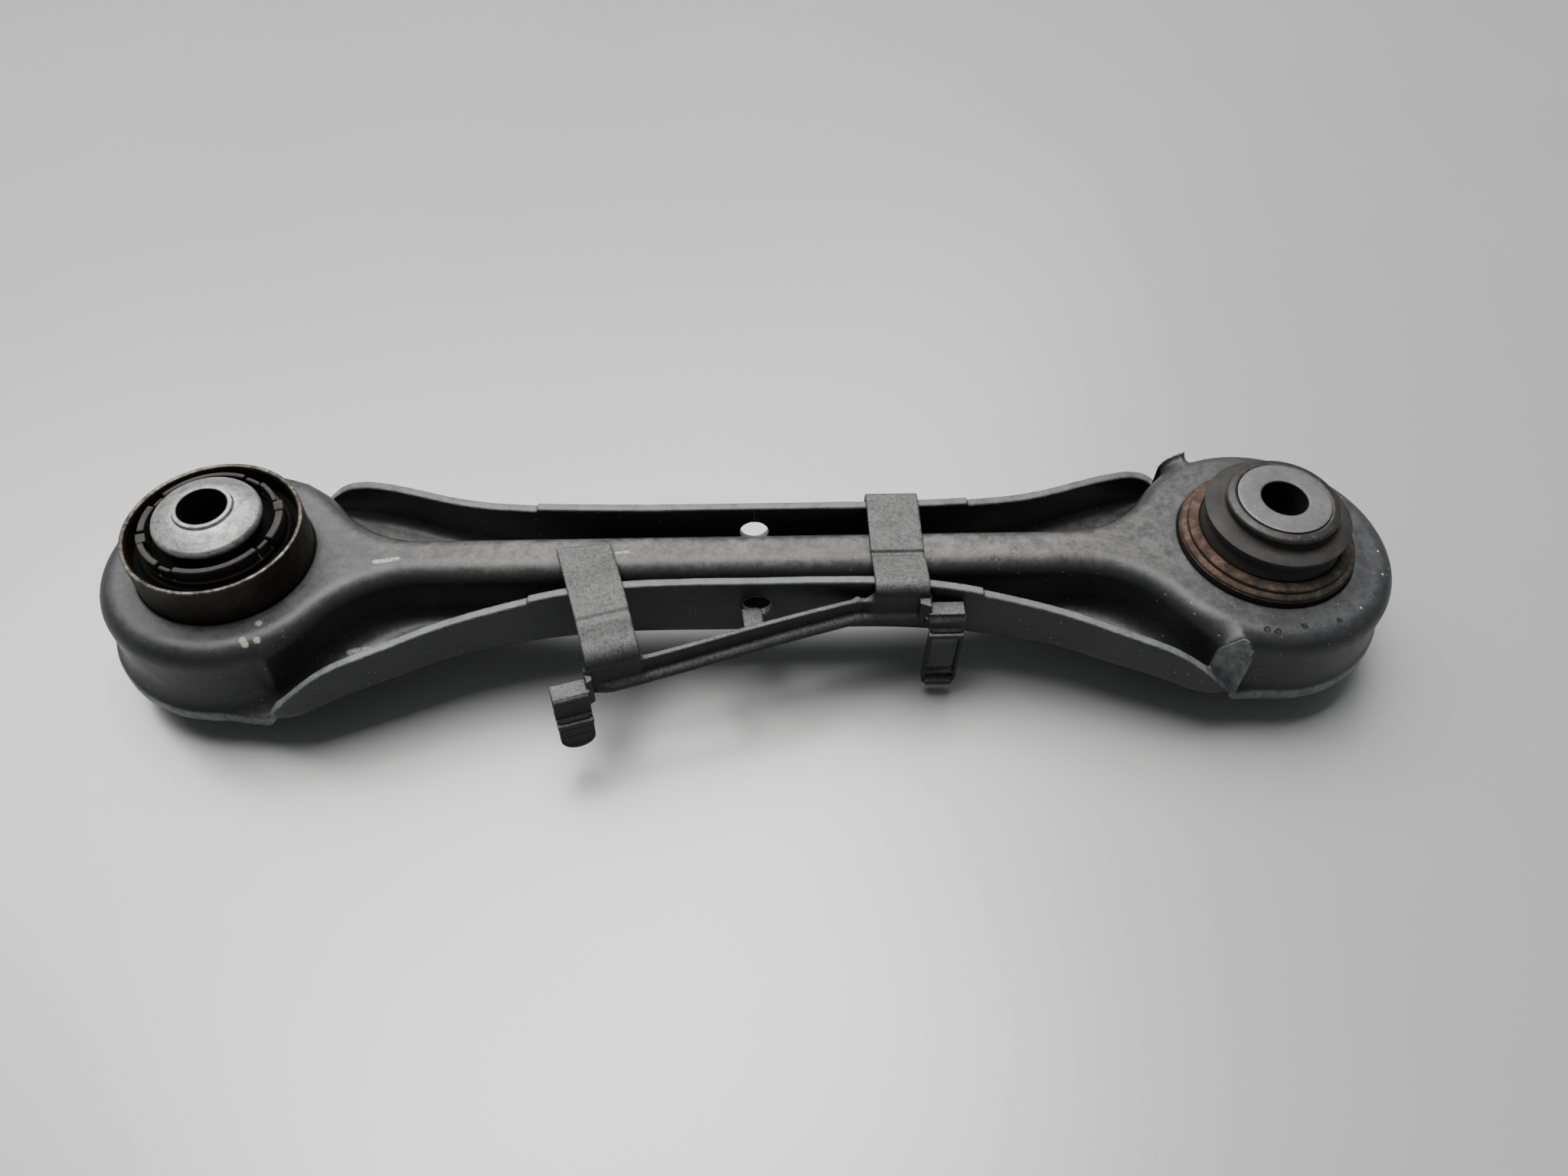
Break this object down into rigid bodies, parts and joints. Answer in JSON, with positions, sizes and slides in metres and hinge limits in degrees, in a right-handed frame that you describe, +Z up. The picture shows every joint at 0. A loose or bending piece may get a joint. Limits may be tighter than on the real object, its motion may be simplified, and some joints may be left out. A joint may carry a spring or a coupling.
{
  "type": "suspension control arm",
  "caption": "Stamped-steel suspension control arm with a rubber bush at one end, a booted sleeve ball joint at the other and a clip-on cable holder.",
  "frame": {"origin": "on the rubber bush's bolt axis, at the level of the sleeves' lower faces", "axes": "+Z up along the bolt axes, +X along the arm from the rubber bush to the ball joint"},
  "size_m": [0.3507, 0.0837, 0.0541],
  "materials": {
    "coated_steel": "satin dip coat",
    "sleeve_steel": "browned and oily, worn bright at the rim",
    "zinc_plate": "zinc plated, turned",
    "bush_rubber": "matt",
    "ring_plastic": "dusty",
    "machined_steel": "fine turned",
    "bearing_plastic": "smooth",
    "browned_steel": "light rust",
    "boot_rubber": "matt",
    "holder_nylon": "dusty moulded nylon"
  },
  "bodies": {
    "arm": {"arm_pressing": "coated_steel", "bush_outer_sleeve": "sleeve_steel", "bush_rubber": "bush_rubber", "bush_split_ring_upper": "ring_plastic", "bush_split_ring_lower": "ring_plastic", "joint_housing": "browned_steel", "joint_closing_ring": "browned_steel", "bearing_cup_upper": "bearing_plastic", "bearing_cup_lower": "bearing_plastic", "boot_clamp_ring_upper": "browned_steel", "boot_clamp_ring_lower": "browned_steel", "cable_holder": "holder_nylon"},
    "bush_core": {"bush_inner_sleeve": "zinc_plate", "bush_collar_upper": "zinc_plate", "bush_collar_lower": "zinc_plate"},
    "boots": {"boot_upper": "boot_rubber", "boot_lower": "boot_rubber"},
    "lip_rings": {"boot_lip_ring_upper": "browned_steel", "boot_lip_ring_lower": "browned_steel"},
    "ball_core": {"ball_sleeve": "machined_steel"},
    "strap_left": {"cable_strap_left": "holder_nylon"},
    "strap_right": {"cable_strap_right": "holder_nylon"}
  },
  "joints": [
    {"name": "bush_turn", "type": "hinge", "parent": "arm", "child": "bush_core", "pos_m": [0, 0, 0.02705], "axis": [0, 0, 1], "range_deg": [-25, 25], "stiffness_Nm_per_rad": 40},
    {"name": "ball_tilt_x", "type": "hinge", "parent": "arm", "child": "boots", "pos_m": [0.2785, 0, 0.0257], "axis": [1, 0, 0], "range_deg": [-10, 10], "deforming": ["boot_upper", "boot_lower"]},
    {"name": "ball_tilt_y", "type": "hinge", "parent": "boots", "child": "lip_rings", "pos_m": [0.2785, 0, 0.0257], "axis": [0, 1, 0], "range_deg": [-10, 10]},
    {"name": "ball_spin", "type": "hinge", "parent": "lip_rings", "child": "ball_core", "pos_m": [0.2785, 0, 0.0257], "axis": [0, 0, 1], "continuous": true},
    {"name": "strap_left_hinge", "type": "hinge", "parent": "arm", "child": "strap_left", "pos_m": [0.09216, -0.04384, 0.0199], "axis": [-0.9636, -0.2672, 0], "range_deg": [0, 140], "stiffness_Nm_per_rad": 0.002},
    {"name": "strap_right_hinge", "type": "hinge", "parent": "arm", "child": "strap_right", "pos_m": [0.1891, -0.0233, 0.0268], "axis": [-1, 0, 0], "range_deg": [0, 140], "stiffness_Nm_per_rad": 0.002}
  ]
}
